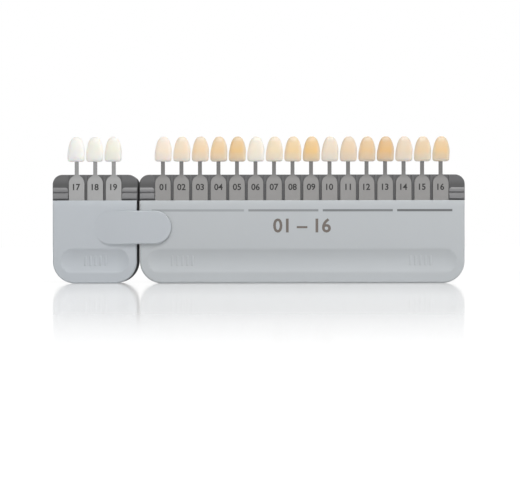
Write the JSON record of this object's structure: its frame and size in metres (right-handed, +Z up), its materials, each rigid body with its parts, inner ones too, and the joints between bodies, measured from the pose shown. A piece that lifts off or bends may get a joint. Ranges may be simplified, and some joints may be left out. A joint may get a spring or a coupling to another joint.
{
  "type": "dental shade guide",
  "caption": "Handheld tooth shade guide: flat two-part handle with a dished grip, a clip-on extension, and pull-out steel tabs that each carry a ceramic tooth.",
  "frame": {"origin": "middle of the bounding box at the level of the bottom edge on which the guide stands", "axes": "+X along the handle, away from the extension; -Y towards the viewer of the tab numbers; +Z up, towards the teeth"},
  "size_m": [0.2118, 0.0138, 0.0752],
  "materials": {
    "handle_plastic": "satin moulded, light grey",
    "rail_plastic": "satin moulded, dark grey",
    "spring_steel": "rolled strip",
    "carrier_steel": "fine matt stainless steel",
    "extension_carrier_steel": "fine matt stainless steel",
    "number_ink": "black pad print",
    "title_ink": "brown-grey pad print",
    "line_ink": "grey pad print, four depths",
    "ceramic_01": "fired tooth ceramic",
    "ceramic_02": "fired tooth ceramic",
    "ceramic_03": "fired tooth ceramic",
    "ceramic_04": "fired tooth ceramic",
    "ceramic_05": "fired tooth ceramic",
    "ceramic_06": "fired tooth ceramic",
    "ceramic_07": "fired tooth ceramic",
    "ceramic_08": "fired tooth ceramic",
    "ceramic_09": "fired tooth ceramic",
    "ceramic_10": "fired tooth ceramic",
    "ceramic_11": "fired tooth ceramic",
    "ceramic_12": "fired tooth ceramic",
    "ceramic_13": "fired tooth ceramic",
    "ceramic_14": "fired tooth ceramic",
    "ceramic_15": "fired tooth ceramic",
    "ceramic_16": "fired tooth ceramic",
    "ceramic_17": "fired tooth ceramic",
    "ceramic_18": "fired tooth ceramic",
    "ceramic_19": "fired tooth ceramic"
  },
  "bodies": {
    "handle": {"front_shell": "handle_plastic", "back_shell": "handle_plastic", "tab_rail": "rail_plastic", "tab_spring": "spring_steel"},
    "extension": {"extension_front_shell": "handle_plastic", "extension_back_shell": "handle_plastic", "extension_rail": "rail_plastic", "extension_spring": "spring_steel"},
    "tab_01": {"carrier_01": "carrier_steel", "tooth_01": "ceramic_01"},
    "tab_02": {"carrier_02": "carrier_steel", "tooth_02": "ceramic_02"},
    "tab_03": {"carrier_03": "carrier_steel", "tooth_03": "ceramic_03"},
    "tab_04": {"carrier_04": "carrier_steel", "tooth_04": "ceramic_04"},
    "tab_05": {"carrier_05": "carrier_steel", "tooth_05": "ceramic_05"},
    "tab_06": {"carrier_06": "carrier_steel", "tooth_06": "ceramic_06"},
    "tab_07": {"carrier_07": "carrier_steel", "tooth_07": "ceramic_07"},
    "tab_08": {"carrier_08": "carrier_steel", "tooth_08": "ceramic_08"},
    "tab_09": {"carrier_09": "carrier_steel", "tooth_09": "ceramic_09"},
    "tab_10": {"carrier_10": "carrier_steel", "tooth_10": "ceramic_10"},
    "tab_11": {"carrier_11": "carrier_steel", "tooth_11": "ceramic_11"},
    "tab_12": {"carrier_12": "carrier_steel", "tooth_12": "ceramic_12"},
    "tab_13": {"carrier_13": "carrier_steel", "tooth_13": "ceramic_13"},
    "tab_14": {"carrier_14": "carrier_steel", "tooth_14": "ceramic_14"},
    "tab_15": {"carrier_15": "carrier_steel", "tooth_15": "ceramic_15"},
    "tab_16": {"carrier_16": "carrier_steel", "tooth_16": "ceramic_16"},
    "tab_17": {"carrier_17": "extension_carrier_steel", "tooth_17": "ceramic_17"},
    "tab_18": {"carrier_18": "extension_carrier_steel", "tooth_18": "ceramic_18"},
    "tab_19": {"carrier_19": "extension_carrier_steel", "tooth_19": "ceramic_19"}
  },
  "joints": [
    {"name": "extension_slide", "type": "slide", "parent": "handle", "child": "extension", "axis": [-1, 0, 0], "range_m": [0, 0.02]},
    {"name": "tab_01_slide", "type": "slide", "parent": "handle", "child": "tab_01", "axis": [0, 0, 1], "range_m": [0, 0.024]},
    {"name": "tab_02_slide", "type": "slide", "parent": "handle", "child": "tab_02", "axis": [0, 0, 1], "range_m": [0, 0.024]},
    {"name": "tab_03_slide", "type": "slide", "parent": "handle", "child": "tab_03", "axis": [0, 0, 1], "range_m": [0, 0.024]},
    {"name": "tab_04_slide", "type": "slide", "parent": "handle", "child": "tab_04", "axis": [0, 0, 1], "range_m": [0, 0.024]},
    {"name": "tab_05_slide", "type": "slide", "parent": "handle", "child": "tab_05", "axis": [0, 0, 1], "range_m": [0, 0.024]},
    {"name": "tab_06_slide", "type": "slide", "parent": "handle", "child": "tab_06", "axis": [0, 0, 1], "range_m": [0, 0.024]},
    {"name": "tab_07_slide", "type": "slide", "parent": "handle", "child": "tab_07", "axis": [0, 0, 1], "range_m": [0, 0.024]},
    {"name": "tab_08_slide", "type": "slide", "parent": "handle", "child": "tab_08", "axis": [0, 0, 1], "range_m": [0, 0.024]},
    {"name": "tab_09_slide", "type": "slide", "parent": "handle", "child": "tab_09", "axis": [0, 0, 1], "range_m": [0, 0.024]},
    {"name": "tab_10_slide", "type": "slide", "parent": "handle", "child": "tab_10", "axis": [0, 0, 1], "range_m": [0, 0.024]},
    {"name": "tab_11_slide", "type": "slide", "parent": "handle", "child": "tab_11", "axis": [0, 0, 1], "range_m": [0, 0.024]},
    {"name": "tab_12_slide", "type": "slide", "parent": "handle", "child": "tab_12", "axis": [0, 0, 1], "range_m": [0, 0.024]},
    {"name": "tab_13_slide", "type": "slide", "parent": "handle", "child": "tab_13", "axis": [0, 0, 1], "range_m": [0, 0.024]},
    {"name": "tab_14_slide", "type": "slide", "parent": "handle", "child": "tab_14", "axis": [0, 0, 1], "range_m": [0, 0.024]},
    {"name": "tab_15_slide", "type": "slide", "parent": "handle", "child": "tab_15", "axis": [0, 0, 1], "range_m": [0, 0.024]},
    {"name": "tab_16_slide", "type": "slide", "parent": "handle", "child": "tab_16", "axis": [0, 0, 1], "range_m": [0, 0.024]},
    {"name": "tab_17_slide", "type": "slide", "parent": "extension", "child": "tab_17", "axis": [0, 0, 1], "range_m": [0, 0.024]},
    {"name": "tab_18_slide", "type": "slide", "parent": "extension", "child": "tab_18", "axis": [0, 0, 1], "range_m": [0, 0.024]},
    {"name": "tab_19_slide", "type": "slide", "parent": "extension", "child": "tab_19", "axis": [0, 0, 1], "range_m": [0, 0.024]}
  ]
}
